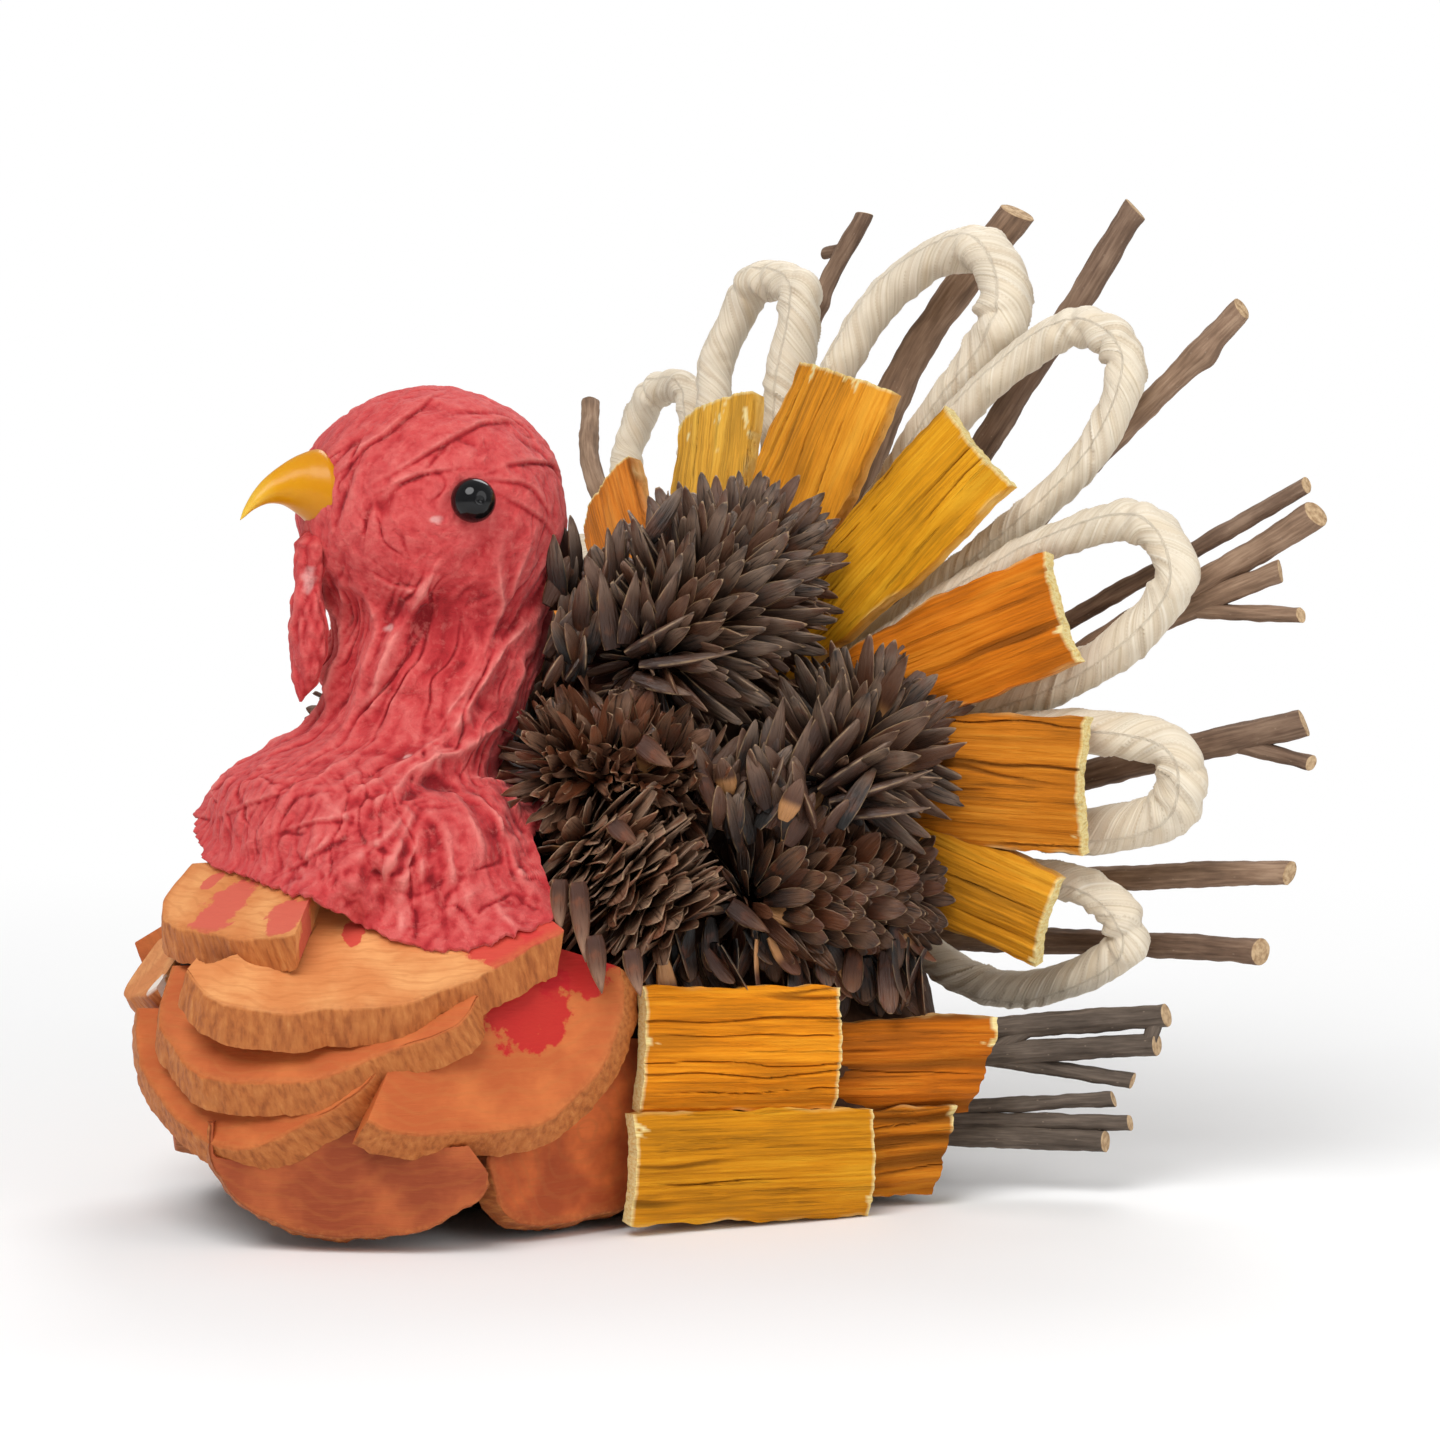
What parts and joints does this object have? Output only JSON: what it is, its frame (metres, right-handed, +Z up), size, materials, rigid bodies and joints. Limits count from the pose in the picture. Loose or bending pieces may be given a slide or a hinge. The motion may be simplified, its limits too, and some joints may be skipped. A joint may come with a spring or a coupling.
{
  "type": "thanksgiving turkey figure",
  "caption": "Sitting turkey ornament of natural materials: paper head, wood slice breast, cone sides, bark strip wings, and a fan tail of bark, wrapped loops and twigs.",
  "frame": {"origin": "on the flat base of the foam body, under its middle plane", "axes": "+Z up, -Y towards the bird's front, +X towards the bird's left"},
  "size_m": [0.2207, 0.1968, 0.1939],
  "materials": {
    "foam": "brown painted foam",
    "paper": "matte crinkled",
    "beak": "glossy",
    "bead": "glossy",
    "slice": "dyed matte",
    "cone": "dry satin",
    "bark": "dyed fibrous",
    "husk": "satin",
    "stick": "matte bark"
  },
  "bodies": {
    "root": {"foam_body": "foam", "head_core": "foam", "head_wrap": "paper", "snood": "paper", "beak": "beak", "eye_left": "bead", "eye_right": "bead", "slice_collar_front": "slice", "slice_collar_left": "slice", "slice_breast_upper": "slice", "slice_breast_front": "slice", "slice_breast_middle": "slice", "slice_side_upper": "slice", "slice_breast_lower": "slice", "slice_side_lower": "slice", "slices_right": "slice", "cone_top": "cone", "cone_side_upper": "cone", "cone_side_lower": "cone", "cone_neck": "cone", "cone_breast": "cone", "cone_right_upper": "cone", "cone_right_lower": "cone", "cone_right_neck": "cone", "tail_strip_1": "bark", "tail_strip_2": "bark", "tail_strip_3": "bark", "tail_strip_4": "bark", "tail_strip_5": "bark", "tail_strip_6": "bark", "tail_strip_7": "bark", "tail_strips_right": "bark", "wing_strip_upper": "bark", "wing_strip_lower": "bark", "wing_strip_rear_upper": "bark", "wing_strip_rear_lower": "bark", "wing_strips_right": "bark", "tail_loop_1": "husk", "tail_loop_2": "husk", "tail_loop_3": "husk", "tail_loop_4": "husk", "tail_loop_5": "husk", "tail_loop_6": "husk", "tail_loop_7": "husk", "tail_loops_right": "husk", "tail_stick_1": "stick", "tail_stick_2": "stick", "tail_stick_3": "stick", "tail_stick_4": "stick", "tail_stick_5": "stick", "tail_stick_6": "stick", "tail_stick_7": "stick", "tail_stick_8": "stick", "tail_stick_9": "stick", "tail_stick_10": "stick", "tail_sticks_right": "stick", "wing_twig_upper": "stick", "wing_twig_lower": "stick", "wing_twig_right": "stick"}
  },
  "joints": []
}
